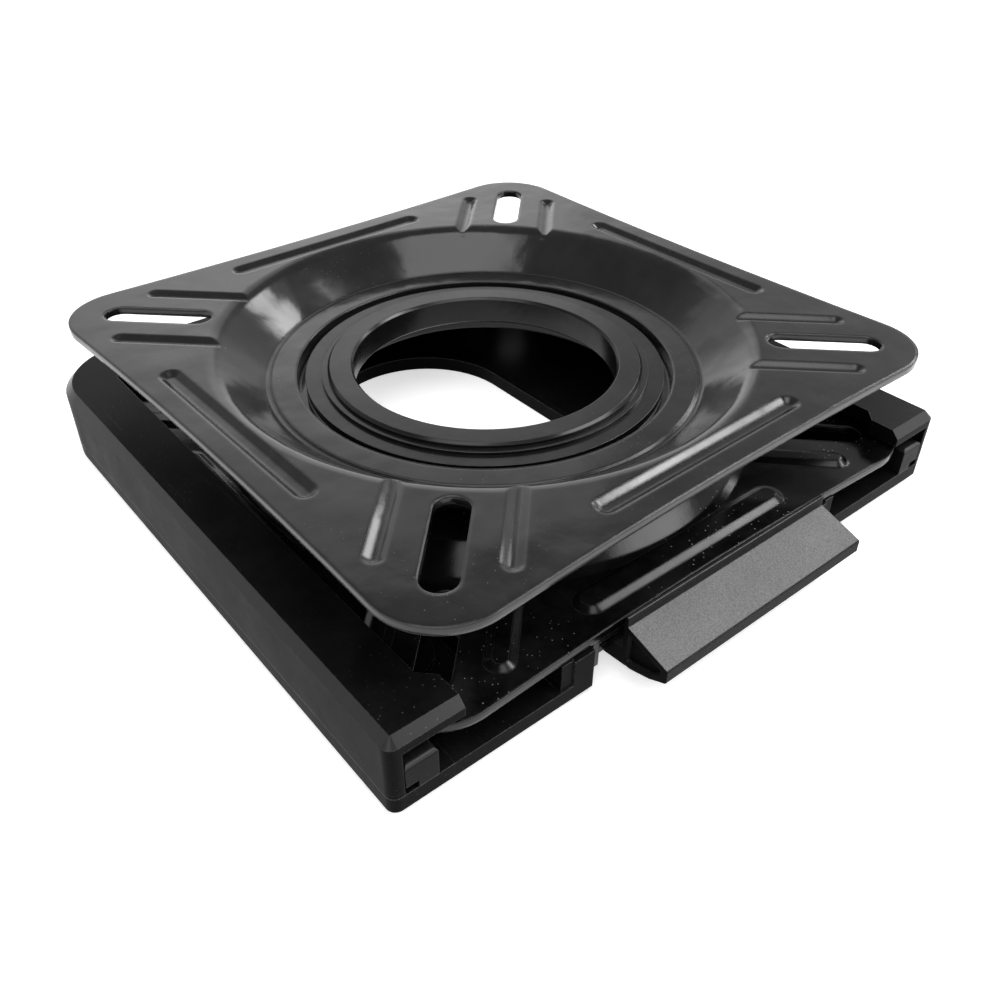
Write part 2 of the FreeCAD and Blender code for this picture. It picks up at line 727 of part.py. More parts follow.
def is_plate_corner(edge):
    """The upright edges at the four corners of the plate."""
    reach = size("plate_half").number - 2
    return upright(edge) and min(abs(edge.CenterOfMass.x), abs(edge.CenterOfMass.y)) > reach


def pressed_back(half):
    """Half width of a rib or bead on the back of the sheet, from that on its face."""
    return half + size("sheet_thickness") * tangent((90 - size("press_slope")) / 2)


def press_ribs(body, name):
    """Two ribs beside each slot, open to the dish at their inner ends."""
    half = size("rib_width") / 2
    bulge = pressed_back(half)
    wall = size("sheet_thickness")
    outer = size("rib_outer") - half
    backs = new_sketch(body, f"{name}_rib_back", height=-wall, turn=45)
    fronts = new_sketch(body, f"{name}_rib", turn=45)
    for offset in (size("rib_offset"), -size("rib_offset")):
        draw_slot(backs, (size("rib_inner") + half + bulge, offset), (outer, offset), bulge)
        draw_slot(fronts, (size("rib_inner"), offset), (outer, offset), half)
    slope = 90 - size("press_slope")
    back = pad(body, backs, f"{name}_rib_back_pad", size("press_depth"), down=True, taper=-slope)
    around_axis(body, [back], f"{name}_rib_backs", 4)
    face = pocket(body, fronts, f"{name}_rib_pocket", size("press_depth"), taper=-slope)
    around_axis(body, [face], f"{name}_ribs", 4)


def press_beads(body, name):
    """One bead along each side."""
    half = size("bead_width") / 2
    bulge = pressed_back(half)
    reach = size("bead_half") - half
    backs = new_sketch(body, f"{name}_bead_back", height=-size("sheet_thickness"))
    fronts = new_sketch(body, f"{name}_bead")
    offset = size("bead_offset")
    draw_slot(backs, (offset, -reach), (offset, reach), bulge, along_y=True)
    draw_slot(fronts, (offset, -reach), (offset, reach), half, along_y=True)
    slope = 90 - size("press_slope")
    back = pad(body, backs, f"{name}_bead_back_pad", size("press_depth"), down=True, taper=-slope)
    around_axis(body, [back], f"{name}_bead_backs", 4)
    face = pocket(body, fronts, f"{name}_bead_pocket", size("press_depth"), taper=-slope)
    around_axis(body, [face], f"{name}_beads", 4)


def make_top_plate():
    depth = size("dish_depth") + size("foot_groove")
    sheet_t = size("sheet_thickness")
    flat = -size("dish_depth")
    race = flat - size("race_drop")
    ring = size("ring_inner_radius")
    edge = size("race_inner_radius")
    lip = size("foot_radius") - size("foot_groove_width")
    inner = [(lip, -depth), (lip, flat), (ring, flat), (ring, race), (edge, race)]
    inner += [(edge, race - sheet_t), (ring + sheet_t, race - sheet_t), (ring + sheet_t, -depth - sheet_t)]
    body = press_plate("top_plate", depth, inner, grooved=True)
    cut_track(body, "top_plate", race - sheet_t)
    body.Placement = Placement(Vector(), Rotation(Vector(0, 0, 1), size("swivel_turn").number))
    bind(body, "Placement.Rotation.Angle", size("swivel_turn"))
    place(body, 0, axis_y, size("upper_plate_top"))
    return body


def make_lower_plate():
    depth = size("dome_depth")
    sheet_t = size("sheet_thickness")
    riser = size("riser_radius")
    ledge = plate_under - size("hub_ledge")
    hole = size("hub_hole_radius")
    inner = [(riser - sheet_t, -depth), (riser - sheet_t, ledge + sheet_t), (hole, ledge + sheet_t)]
    inner += [(hole, ledge), (riser, ledge), (riser, -depth - sheet_t)]
    body = press_plate("lower_plate", depth, inner)
    cut_track(body, "lower_plate", -depth - sheet_t)
    body.Placement = Placement(Vector(), Rotation(Vector(1, 0, 0), 180))
    place(body, 0, axis_y, plate_under)
    return body


def cut_track(body, name, height):
    """The ball track: a groove with sloping flanks in the side of the sheet that faces the balls."""
    sketch = new_sketch(body, f"{name}_track", "XZ_Plane")
    middle = size("track_radius")
    floor = size("track_floor") / 2
    mouth = floor + size("track_depth") * 1.5
    deep = height + size("track_depth")
    low = height - size("track_depth") / 2
    profile = [(middle - mouth, low), (middle + mouth, low), (middle + floor, deep), (middle - floor, deep)]
    draw_polygon(sketch, profile)
    before = volume_of(body)
    groove = body.newObject("PartDesign::Groove", f"{name}_track_groove")
    groove.Profile = sketch
    groove.ReferenceAxis = (sketch, ["V_Axis"])
    groove.Angle = 360
    check_change(body, before, False, name)


# The hub and its bearing

def ring(name, profile):
    """A turned ring about the swivel axis, from a section of (radius, height) points."""
    body = new_body(name)
    sketch = new_sketch(body, f"{name}_section", "XZ_Plane")
    draw_polygon(sketch, profile)
    revolve(body, sketch, f"{name}_turned")
    place(body, 0, axis_y, 0)
    return body


def plain_ring(name, inner, outer, low, high):
    return ring(name, [(inner, low), (outer, low), (outer, high), (inner, high)])


def make_eyelet():
    inner = size("eyelet_inner_radius")
    outer = size("eyelet_outer_radius")
    ledge_under = size("hub_ledge") - size("sheet_thickness")
    curl_radius = size("curl_radius")
    curl_low = ledge_under - size("eyelet_curl")
    flange = size("eyelet_flange_radius")
    profile = [(inner, curl_low), (curl_radius, curl_low), (curl_radius, ledge_under), (outer, ledge_under)]
    profile += [(outer, eyelet_under), (flange, eyelet_under), (flange, eyelet_top), (inner, eyelet_top)]
    body = ring("hub_eyelet", profile)
    radii = (inner, flange, inner, curl_radius)
    heights = (eyelet_top, eyelet_top, curl_low, curl_low)
    dress(body, "Chamfer", "hub_eyelet_lips", size("eyelet_round"), bend_picker(radii, heights))
    return body


def make_hub():
    bore = size("hub_hole_radius")
    clamp = plain_ring("clamp_ring", bore, size("clamp_radius"), clamp_under, washer_under)
    washer = plain_ring("hub_washer", bore, size("washer_radius"), washer_under, eyelet_under)
    inner = size("riser_radius") + size("seat_gap") * 2
    uplift_under = clamp_under - size("uplift_thickness")
    uplift = plain_ring("uplift_ring", inner, size("clamp_radius"), uplift_under, clamp_under)
    return [clamp, washer, uplift, make_eyelet()]


def make_balls():
    balls = []
    count = int(size("ball_count").number)
    height = track_top + size("ball_radius") - size("track_depth") + size("ball_gap") / 3
    for n in range(count):
        turn = as_size(360.0 * n) / size("ball_count")
        ball = doc.addObject("Part::Sphere", f"ball_{n + 1}")
        bind(ball, "Radius", size("ball_radius"))
        across = size("track_radius") * cosine(turn)
        along = axis_y + size("track_radius") * sine(turn)
        place(ball, across, along, height)
        balls.append(ball)
    return grouped("bearing_balls", balls)


def make_cage():
    middle = (track_top + race_under) / 2
    low = middle - size("cage_thickness") / 2
    high = middle + size("cage_thickness") / 2
    body = new_body("ball_cage")
    half = size("cage_width") / 2
    profile = [(size("track_radius") - half, low), (size("track_radius") + half, low)]
    profile += [(size("track_radius") + half, high), (size("track_radius") - half, high)]
    section = new_sketch(body, "ball_cage_section", "XZ_Plane")
    draw_polygon(section, profile)
    revolve(body, section, "ball_cage_turned")
    hole = new_sketch(body, "ball_cage_hole", height=high)
    draw_circle(hole, size("track_radius"), 0, size("ball_radius") + size("ball_gap") / 2)
    first = pocket(body, hole, "ball_cage_pocket")
    around_axis(body, [first], "ball_cage_pockets", int(size("ball_count").number))
    place(body, 0, axis_y, 0)
    return body


# The housing and its tray

def round_outline(body, name, rear, front_radius):
    """Rounds the upright outer corners: large at the rear, small at the front."""
    side = half_width.number
    end = half_depth.number
    at_side = lambda edge: upright(edge) and near(abs(edge.CenterOfMass.x), side)
    at_rear = lambda edge: at_side(edge) and near(edge.CenterOfMass.y, end)
    at_front = lambda edge: at_side(edge) and near(edge.CenterOfMass.y, -end)
    dress(body, "Fillet", f"{name}_rear_corners", rear, at_rear)
    dress(body, "Fillet", f"{name}_front_corners", front_radius, at_front)


def make_housing():
    body = new_body("base_housing")
    outline = new_sketch(body, "housing_outline", height=tray_top)
    draw_rectangle(outline, -half_width, half_width, front, half_depth)
    pad(body, outline, "housing_block", size("base_height") - tray_top)
    room = new_sketch(body, "housing_room", height=tray_top)
    draw_rectangle(room, -wall_inner, wall_inner, front - 1, rear_inner)
    pocket(body, room, "housing_hollow", flange_under - tray_top, up=True)
    at_wall = lambda edge: upright(edge) and near(abs(edge.CenterOfMass.x), wall_inner.number)
    at_rear = lambda edge: at_wall(edge) and edge.CenterOfMass.y > 0
    room_radius = size("rear_corner_radius") - size("side_wall")
    dress(body, "Fillet", "housing_room_corners", room_radius, at_rear)
    round_outline(body, "housing", size("rear_corner_radius"), size("front_corner_radius"))
    top = size("base_height").number
    dress(body, "Chamfer", "housing_chamfer", size("top_chamfer"), lambda edge: level_at(edge, top))
    mouth = new_sketch(body, "housing_mouth", height=size("base_height"))
    nose = size("nose_inner")
    wide = size("flange_inner")
    step = front + size("nose_length")
    edge_y = size("rear_flange_edge")
    right = [(nose, front - 1), (nose, step), (wide, step + (wide - nose)), (wide, edge_y)]
    draw_polygon(mouth, right + [(-x, y) for x, y in reversed(right)])
    pocket(body, mouth, "housing_opening", size("flange_thickness") + 0.5)
    at_mouth = lambda edge: upright(edge) and near(edge.CenterOfMass.y, edge_y.number)
    dress(body, "Fillet", "housing_mouth_corners", size("flange_inner_radius"), at_mouth)
    add_foot_ledges(body)
    add_screw_posts(body)
    return body


def add_foot_ledges(body):
    """A ledge inside each side wall, which the glide rails clamp to the tray."""
    ledges = new_sketch(body, "housing_ledge", height=tray_top)
    inner = wall_inner - size("foot_ledge")
    outer = wall_inner + size("side_wall") / 2
    draw_rectangle(ledges, inner, outer, front + size("foot_ledge_setback"), size("rail_rear"))
    ledge = pad(body, ledges, "housing_ledge_pad", size("foot_ledge_height"))
    mirrored(body, [ledge], "housing_ledges")


def add_screw_posts(body):
    """Two posts at the rear wall for screws from below."""
    posts = new_sketch(body, "housing_post", height=tray_top)
    radius = size("screw_post_radius")
    x = size("rear_screw_half")
    y = rear_inner - radius
    draw_slot(posts, (x, y), (x, y + size("side_wall")), radius, along_y=True)
    post = pad(body, posts, "housing_post_pad", size("base_height") - tray_top - size("top_chamfer"))
    mirrored(body, [post], "housing_posts")
    holes = new_sketch(body, "housing_post_hole", height=tray_top)
    draw_circle(holes, x, y, size("screw_radius") + size("screw_gap"))
    hole = pocket(body, holes, "housing_post_bore", size("screw_length"), up=True)
    mirrored(body, [hole], "housing_post_bores")


def make_tray():
    body = new_body("base_tray")
    outline = new_sketch(body, "tray_outline")
    draw_rectangle(outline, -half_width, half_width, front, half_depth)
    pad(body, outline, "tray_block", tray_top)
    round_outline(body, "tray", size("rear_corner_radius"), size("front_corner_radius"))
    dress(body, "Chamfer", "tray_bottom_edge", size("bottom_edge"), lambda edge: level_at(edge, 0))
    room = new_sketch(body, "tray_room", height=tray_top)
    rail_line = size("rail_inner") - size("seat_gap")
    draw_rectangle(room, -rail_line, rail_line, bar_back, rear_inner - size("screw_post_radius") * 2 - 1)
    pocket(body, room, "tray_hollow", tray_top - size("tray_floor"))
    notch = new_sketch(body, "tray_notch", height=tray_top)
    draw_rectangle(notch, -size("notch_half"), size("notch_half"), front - 1, front + size("notch_depth"))
    pocket(body, notch, "tray_notch_cut")
    add_stop_blocks(body)
    add_opening(body)
    add_rack_walls(body)
    add_bolt_bosses(body)
    drill_tray(body)
    return body


def add_stop_blocks(body):
    """The stop blocks beside the notch, each with a taller outer post."""
    inner = size("notch_half")
    outer = inner + size("block_width")
    blocks = new_sketch(body, "tray_block_plan", height=tray_top)
    draw_rectangle(blocks, inner, outer - size("post_width"), front, bar_back)
    block = pad(body, blocks, "tray_stop_block", size("block_top") - tray_top)
    posts = new_sketch(body, "tray_post_plan", height=tray_top)
    draw_rectangle(posts, outer - size("post_width"), outer, front + size("post_setback"), bar_back)
    post = pad(body, posts, "tray_stop_post", size("post_top") - tray_top)
    mirrored(body, [block, post], "tray_stop_blocks")


def add_opening(body):
    """The long opening under the swivel, with a rim around it."""
    reach = size("opening_reach")
    half = size("opening_half")
    rims = new_sketch(body, "tray_rim", height=size("tray_floor"))
    draw_slot(rims, (0, -reach), (0, reach), half + size("opening_rim"), along_y=True)
    pad(body, rims, "tray_rim_pad", size("rim_height"))
    hole = new_sketch(body, "tray_opening", height=tray_top)
    draw_slot(hole, (0, -reach), (0, reach), half, along_y=True)
    pocket(body, hole, "tray_opening_cut")


def add_rack_walls(body):
    """Walls that carry the lock racks."""
    walls = new_sketch(body, "tray_rack_wall", height=size("tray_floor"))
    outer = size("rack_inner") + size("rack_width")
    draw_rectangle(walls, outer - size("rack_wall"), outer, rack_front, rack_back)
    wall = pad(body, walls, "tray_rack_wall_pad", size("rack_bottom") - size("tray_floor"))
    mirrored(body, [wall], "tray_rack_walls")
    holes = new_sketch(body, "tray_rack_hole", height=size("rack_bottom"))
    for y in rack_screw_places():
        draw_circle(holes, rack_screw_x(), y, size("rack_screw_radius") + size("screw_gap"))
    bores = pocket(body, holes, "tray_rack_bore", size("rack_screw_length"))
    mirrored(body, [bores], "tray_rack_bores")


def add_bolt_bosses(body):
    """Four bosses and holes for the bolts that fix the base."""
    x, y = size("bolt_half_x"), size("bolt_half_y")
    bosses = new_sketch(body, "tray_boss", height=size("tray_floor"))
    holes = new_sketch(body, "tray_bolt_hole", height=tray_top)
    for x_place in (x, -x):
        for y_place in (y, -y):
            draw_circle(bosses, x_place, y_place, size("bolt_boss_radius"))
            draw_circle(holes, x_place, y_place, size("bolt_hole_radius"))
    pad(body, bosses, "tray_boss_pad", size("rim_height"))
    pocket(body, holes, "tray_bolt_holes")


def tray_screw_places():
    """Three screws into each glide rail and one into each rear post, as (x, y) on the right."""
    x = (size("rail_inner") + wall_inner) / 2 - size("foot_ledge") / 2
    first = front + size("rail_screw_inset")
    last = size("rail_rear") - size("rail_screw_end")
    in_post = (size("rear_screw_half"), rear_inner - size("screw_post_radius"))
    return [(x, first), (x, 0), (x, last), in_post]


def drill_tray(body):
    """Countersunk holes for the screws from below."""
    shanks = new_sketch(body, "tray_screw_hole", height=tray_top)
    for x, y in tray_screw_places():
        draw_circle(shanks, x, y, size("screw_radius") + size("screw_gap"))
    bores = pocket(body, shanks, "tray_screw_bore")
    mirrored(body, [bores], "tray_screw_bores")
    heads = new_sketch(body, "tray_screw_head")
    for x, y in tray_screw_places():
        draw_circle(heads, x, y, size("screw_head_radius") + size("screw_gap"))
    sinks = pocket(body, heads, "tray_screw_sink", size("screw_head_height") + size("screw_gap"), up=True)
    mirrored(body, [sinks], "tray_screw_sinks")


def make_tray_screws():
    screws = []
    for side, sign in SIDES:
        for n, (x, y) in enumerate(tray_screw_places(), start=1):
            name = f"tray_screw_{side}_{n}"
            head_height = size("screw_head_height")
            x = as_size(x) * sign
            sunk = size("screw_gap")
            head = cylinder(f"{name}_head", size("screw_head_radius"), head_height, x, y, sunk)
            shank = cylinder(f"{name}_shank", size("screw_radius"), size("screw_length"), x, y, sunk)
            screws.append(fuse(name, [head, shank]))
    return grouped("tray_screws", screws)


# The slide

def make_glide_rail(side, sign):
    """A rail under the edge of the lower plate. It clamps the foot ledge of the housing."""
    body = new_body(f"glide_rail_{side}")
    section = new_sketch(body, f"rail_{side}_section", "XZ_Plane", height=half_depth)
    inner = size("rail_inner")
    outer = wall_inner - size("seat_gap")
    ledge = wall_inner - size("foot_ledge") - size("seat_gap")
    over = tray_top + size("foot_ledge_height") + size("slide_gap")
    profile = [(inner, tray_top), (ledge, tray_top), (ledge, over), (outer, over)]
    profile += [(outer, size("rail_top")), (inner, size("rail_top"))]
    draw_polygon(section, [(as_size(x) * sign, z) for x, z in profile])
    pad(body, section, f"rail_{side}_bar", half_depth + size("rail_rear"), down=True)
    top = size("rail_top").number
    dress(body, "Fillet", f"rail_{side}_round", size("rail_round"), lambda edge: level_at(edge, top))
    holes = new_sketch(body, f"rail_{side}_holes", height=tray_top)
    for x, y in tray_screw_places()[:3]:
        draw_circle(holes, as_size(x) * sign, y, size("screw_radius") + size("screw_gap"))
    depth = size("screw_length") + size("screw_gap") * 2 - tray_top
    pocket(body, holes, f"rail_{side}_bores", depth, up=True)
    return body


def make_upper_glide(side, sign):
    """A strip under the side flange that keeps the plate down."""
    inner = size("upper_glide_inner")
    outer = wall_inner - size("seat_gap")
    low = size("lower_plate_top") + size("slide_gap")
    length = (front + size("upper_glide_front"), size("rail_rear"))
    return box(f"upper_glide_{side}", between(sign, inner, outer), length, (low, flange_under))


def make_buffer(side, sign):
    """A rubber stop at the rear wall, behind the lower plate."""
    middle = size("buffer_half")
    half = size("buffer_width") / 2
    span = between(sign, middle - half, middle + half)
    back_edge = axis_y + size("plate_half")
    low = plate_under - size("buffer_lap")
    high = size("lower_plate_top") + size("buffer_lap")
    return box(f"rear_buffer_{side}", span, (back_edge + size("stop_gap"), rear_inner), (low, high))


def rack_screw_x():
    return size("rack_inner") + size("rack_width") - size("rack_wall") / 2


def rack_screw_places():
    middle = (rack_front + rack_back) / 2
    reach = (rack_back - rack_front) / 2 - size("rack_screw_inset")
    return [middle - reach, middle, middle + reach]


def make_rack(side, sign):
    """A steel strip with a notch for each lock position along its inner edge."""
    body = new_body(f"lock_rack_{side}")
    plan = new_sketch(body, f"rack_{side}_plan", height=size("rack_bottom"))
    inner = size("rack_inner")
    outer = inner + size("rack_width")
    deep = inner + size("finger_thickness") + size("notch_gap") * 3
    half = size("finger_width") / 2 + size("notch_gap")
    corners = [(outer, rack_front), (outer, rack_back), (inner, rack_back)]
    for n in range(lock_count):
        y = finger_y - size("lock_pitch") * n
        corners += [(inner, y + half), (deep, y + half), (deep, y - half), (inner, y - half)]
    corners += [(inner, rack_front)]
    draw_polygon(plan, [(as_size(x) * sign, y) for x, y in corners])
    pad(body, plan, f"rack_{side}_strip", size("rack_sheet"))
    holes = new_sketch(body, f"rack_{side}_holes", height=size("rack_bottom") + size("rack_sheet"))
    for y in rack_screw_places():
        draw_circle(holes, rack_screw_x() * sign, y, size("rack_screw_radius") + size("screw_gap"))
    pocket(body, holes, f"rack_{side}_bores")
    return body


def make_rack_screws():
    screws = []
    seat = size("rack_bottom") + size("rack_sheet")
    shank_radius = size("rack_screw_radius")
    for side, sign in SIDES:
        for n, y in enumerate(rack_screw_places(), start=1):
            name = f"rack_screw_{side}_{n}"
            x = rack_screw_x() * sign
            length = size("rack_screw_length")
            shank = cylinder(f"{name}_shank", shank_radius, length, x, y, seat - length)
            head = cylinder(f"{name}_head", shank_radius * 1.5, size("rack_screw_head"), x, y, seat)
            screws.append(fuse(name, [shank, head]))
    return grouped("rack_screws", screws)


# The lever

def make_bracket():
    """A folded channel under the front of the lower plate: a plate, two ears and two stop tabs."""
    bracket_front = -size("bracket_front")
    plate_back = bracket_front + size("bracket_plate_depth")
    tab_back = tab_front + size("ear_thickness")
    plate_rise = (bracket_under, plate_under)
    ear_rise = (size("ear_bottom"), plate_under)
    tab_rise = (size("tab_bottom"), size("tab_top"))
    pieces = [box("bracket_plate", (-ear_outer, ear_outer), (bracket_front, plate_back), plate_rise)]
    for side, sign in SIDES:
        ear_span = between(sign, ear_inner, ear_outer)
        pieces.append(box(f"bracket_ear_{side}", ear_span, (bracket_front, tab_back), ear_rise))
        tab_span = between(sign, ear_inner, ear_outer + size("tab_reach"))
        pieces.append(box(f"bracket_tab_{side}", tab_span, (tab_front, tab_back), tab_rise))
    whole = fuse("bracket_channel", pieces)
    return cut("lever_bracket", whole, pivot_rod("bracket_bore", size("pin_radius"), ear_outer * 2))


def pivot_rod(name, radius, half_length):
    """A round rod along the lever's pivot line."""
    height = size("pivot_height")
    return cylinder(name, radius, half_length * 2, -half_length, pivot_y, height, along_x=True)


def make_pin():
    return pivot_rod("lever_pivot_pin", size("pin_radius"), ear_outer)


def make_latch_arm():
    """A flat fork with pivot lugs, a tongue in the handle and two fingers in the racks."""
    low = size("arm_bottom")
    cross_front = -size("arm_front")
    flat = (low, arm_top)
    finger_back = finger_y + size("finger_width") / 2
    finger_front = finger_y - size("finger_width") / 2
    cross = (cross_front, cross_front + size("arm_cross_depth"))
    pieces = [box("arm_cross", (-arm_outer, arm_outer), cross, flat)]
    tongue = (-size("tongue_left"), size("tongue_right"))
    pieces.append(box("arm_tongue", tongue, (-size("tongue_front"), cross_front + 1), flat))
    for side, sign in SIDES:
        bar = between(sign, arm_outer - size("arm_width"), arm_outer)
        pieces.append(box(f"arm_bar_{side}", bar, (cross_front, finger_back), flat))
        lug = between(sign, arm_outer - size("ear_thickness"), arm_outer)
        lug_length = (pivot_y - size("lug_half"), pivot_y + size("lug_half"))
        pieces.append(box(f"arm_lug_{side}", lug, lug_length, (low, size("lug_top"))))
        reach = between(sign, arm_outer - 1, finger_outer)
        pieces.append(box(f"arm_reach_{side}", reach, (finger_front, finger_back), flat))
        tip = between(sign, finger_outer - size("finger_thickness"), finger_outer)
        pieces.append(box(f"arm_finger_{side}", tip, (finger_front, finger_back), (low, size("finger_top"))))
    whole = fuse("arm_fork", pieces)
    bore = pivot_rod("arm_bore", size("pin_radius") + size("pin_gap"), ear_outer * 2)
    drilled = cut("arm_drilled", whole, bore)
    holes = []
    for n, x in enumerate(handle_screw_places(), start=1):
        hole_radius = size("screw_radius") + size("screw_gap")
        holes.append(cylinder(f"arm_screw_hole_{n}", hole_radius, arm_top + 2, x, handle_screw_y(), 0))
    return cut("latch_arm", drilled, fuse("arm_screw_holes", holes))


def handle_screw_places():
    return [lever_middle - size("handle_screw_half"), lever_middle + size("handle_screw_half")]


def handle_screw_y():
    return -half_depth - size("handle_screw_out")


def make_handle():
    """The moulded lever: a sloping finger plate, a ridge behind it and a tail under the plate."""
    body = new_body("lever_handle")
    ridge_back = -size("handle_root") + size("ridge_thickness")
    side_view = new_sketch(body, "handle_profile", "YZ_Plane", height=-size("handle_left"))
    profile = [(ridge_back, size("belly_low") + 0.2), (-size("belly_back"), size("belly_low"))]
    profile += [(-size("belly_front"), size("belly_height")), (-size("handle_front"), size("lip_bottom"))]
    profile += [(-size("handle_front"), size("lip_top")), (-size("handle_root"), size("root_height"))]
    profile += [(-size("handle_root"), size("ridge_top")), (ridge_back, size("ridge_top"))]
    draw_polygon(side_view, profile)
    pad(body, side_view, "handle_block", size("handle_left") + size("handle_right"))
    dress(body, "Fillet", "handle_rounds", size("handle_round"), is_lip_edge)
    dress(body, "Fillet", "handle_ridge_rounds", size("ridge_thickness") * 0.3, is_ridge_edge)
    tail = new_sketch(body, "handle_tail_profile", "YZ_Plane", height=-size("handle_left"))
    corners = [(ridge_back - 1.5, size("belly_low") - 0.05), (-size("tail_back"), size("tail_bottom"))]
    corners += [(-size("tail_back"), size("tail_top")), (ridge_back - 1.5, size("tail_top"))]
    draw_polygon(tail, corners)
    pad(body, tail, "handle_tail", size("handle_left") + size("handle_tail_right"))
    add_cheeks(body)
    cut_tongue_room(body)
    return body


def is_lip_edge(edge):
    """The two long edges of the front lip."""
    return edge.BoundBox.XLength > 20 and near(edge.CenterOfMass.y, -size("handle_front").number)


def is_ridge_edge(edge):
    """The two long edges on top of the ridge."""
    return edge.BoundBox.XLength > 20 and near(edge.CenterOfMass.z, size("ridge_top").number)


def add_cheeks(body):
    """A shallow recess in each end of the handle, inside a rim."""
    rim = size("cheek_rim")
    lip = -size("handle_front") + rim * 1.5
    root_line = -size("handle_root") - rim * 0.3
    floor = size("belly_low") + rim
    shape = [(-size("belly_back"), floor), (-size("belly_front"), size("belly_height") + rim)]
    shape += [(lip, size("lip_bottom") + rim), (lip, size("lip_top") - rim * 0.7)]
    shape += [(root_line, size("root_height") - rim * 1.5), (root_line, floor)]
    for name, height, up in (("left", -size("handle_left"), True), ("right", size("handle_right"), False)):
        sketch = new_sketch(body, f"cheek_{name}_plan", "YZ_Plane", height=height)
        draw_polygon(sketch, shape)
        pocket(body, sketch, f"cheek_{name}_recess", size("cheek_depth"), up=up)


def cut_tongue_room(body):
    """Room for the arm's tongue and cross plate, and the holes for its screws."""
    room = size("tongue_room")
    low = size("arm_bottom") - room
    high = arm_top + room
    slot = new_sketch(body, "handle_slot", "YZ_Plane", height=-size("tongue_left") - room)
    draw_rectangle(slot, -size("tongue_front") - room, -size("tail_back") + 1, low, high)
    wide = size("tongue_left") + size("tongue_right") + room * 2
    pocket(body, slot, "handle_slot_cut", wide, up=True)
    side_view = new_sketch(body, "handle_cross_room", "YZ_Plane", height=-size("handle_left") - 1)
    draw_rectangle(side_view, -size("arm_front") - room, -size("tail_back") + 1, low, high)
    whole = size("handle_left") + size("handle_tail_right") + 2
    pocket(body, side_view, "handle_cross_cut", whole, up=True)
    holes = new_sketch(body, "handle_screw_holes")
    sinks = new_sketch(body, "handle_screw_sinks")
    for x in handle_screw_places():
        draw_circle(holes, x, handle_screw_y(), size("screw_radius") + size("screw_gap"))
        draw_circle(sinks, x, handle_screw_y(), size("screw_head_radius") + size("screw_gap"))
    pocket(body, holes, "handle_screw_bores", arm_top + size("handle_screw_bite"), up=True)
    pocket(body, sinks, "handle_screw_seats", handle_screw_seat(), up=True)


def handle_screw_seat():
    """Height of the faces that the heads of the handle screws sit on."""
    return size("arm_bottom") - size("handle_screw_wall")


def make_handle_screws():
    screws = []
    seat = handle_screw_seat()
    head_height = size("screw_head_height") * 0.6
    length = arm_top + size("handle_screw_bite") - seat - size("screw_gap")
    for n, x in enumerate(handle_screw_places(), start=1):
        y = handle_screw_y()
        name = f"handle_screw_{n}"
        head = cylinder(f"{name}_head", size("screw_head_radius"), head_height, x, y, seat - head_height)
        shank = cylinder(f"{name}_shank", size("screw_radius"), length, x, y, seat)
        screws.append(fuse(name, [head, shank]))
    return grouped("handle_screws", screws)


def make_spring():
    """A folded leaf spring between the bracket plate and the arm."""
    body = new_body("return_spring")
    leaf = size("spring_leaf")
    tip = -size("spring_front")
    fold = -size("spring_fold")
    high = bracket_under
    low = arm_top + size("pin_gap")
    upper = [(tip, high), (fold - leaf, high), (fold, high - leaf * 1.5)]
    lower = [(tip + leaf, low), (tip, low + leaf), (tip + leaf, low + leaf * 1.1)]
    back = [(fold - leaf * 2, high - leaf * 1.6), (fold - leaf * 2.5, high - leaf), (tip, high - leaf)]
    side_view = new_sketch(body, "spring_profile", "YZ_Plane", height=lever_middle - size("spring_width") / 2)
    draw_polygon(side_view, upper + lower + back)
    pad(body, side_view, "spring_strip", size("spring_width"))
    return body


def make_everything():
    pieces = [make_tray(), make_housing()]
    for side, sign in SIDES:
        pieces.append(make_glide_rail(side, sign))
        pieces.append(make_upper_glide(side, sign))
        pieces.append(make_rack(side, sign))
        pieces.append(make_buffer(side, sign))
    pieces += [make_tray_screws(), make_rack_screws()]
    pieces += [make_lower_plate()] + make_hub() + [make_balls(), make_cage()]
    pieces += [make_bracket(), make_pin(), make_spring()]
    pieces += [make_latch_arm(), make_handle(), make_handle_screws()]
    pieces += [make_top_plate()]
    return pieces


def check_everything(pieces):
    doc.recompute()
    for thing in doc.Objects:
        if "Invalid" in thing.State or "Error" in thing.State:
            raise RuntimeError(f"{thing.Label} is {thing.State}")
    for piece in pieces:
        if piece.Shape.isNull() or not piece.Shape.isValid():
            raise RuntimeError(f"{piece.Label} has no valid shape")


def write_everything(pieces):
    os.makedirs("parts", exist_ok=True)
    for piece in pieces:
        piece.Shape.exportStep(f"parts/{piece.Label}.step")
        print(piece.Label, len(piece.Shape.Solids), round(piece.Shape.Volume, 1))


all_pieces = make_everything()
check_everything(all_pieces)
write_everything(all_pieces)
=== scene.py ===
import math

import bmesh
import bpy
from mathutils import Matrix, Vector


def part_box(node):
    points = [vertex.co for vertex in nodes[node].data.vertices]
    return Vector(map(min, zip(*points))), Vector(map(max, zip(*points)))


# A swivel seat base in gloss black enamel and grained black mouldings, on a white floor.
# Metres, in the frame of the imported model: +Z up, the lever at the -Y side.

MM = 0.001

# Camera: where it stands, how it looks down and how wide it sees
CAMERA_PLACE = Vector((-154.9, -198.2, 172.5)) * MM
CAMERA_YAW = math.radians(39.75)
CAMERA_PITCH = math.radians(37.28)
CAMERA_ROLL = math.radians(-0.46)
FOCAL_PIXELS = 977.9
PHOTO_WIDTH = 1000
SENSOR_WIDTH = 36.0
NEAREST_SEEN = 10.0 * MM

# The point that the lamps face
OBJECT_MIDDLE = Vector((0.0, 0.0, 30.0)) * MM

# The brightest part of the room, which the enamel mirrors: behind the object and low
GLOW_WAY = Vector((0.49, 0.845, 0.21))

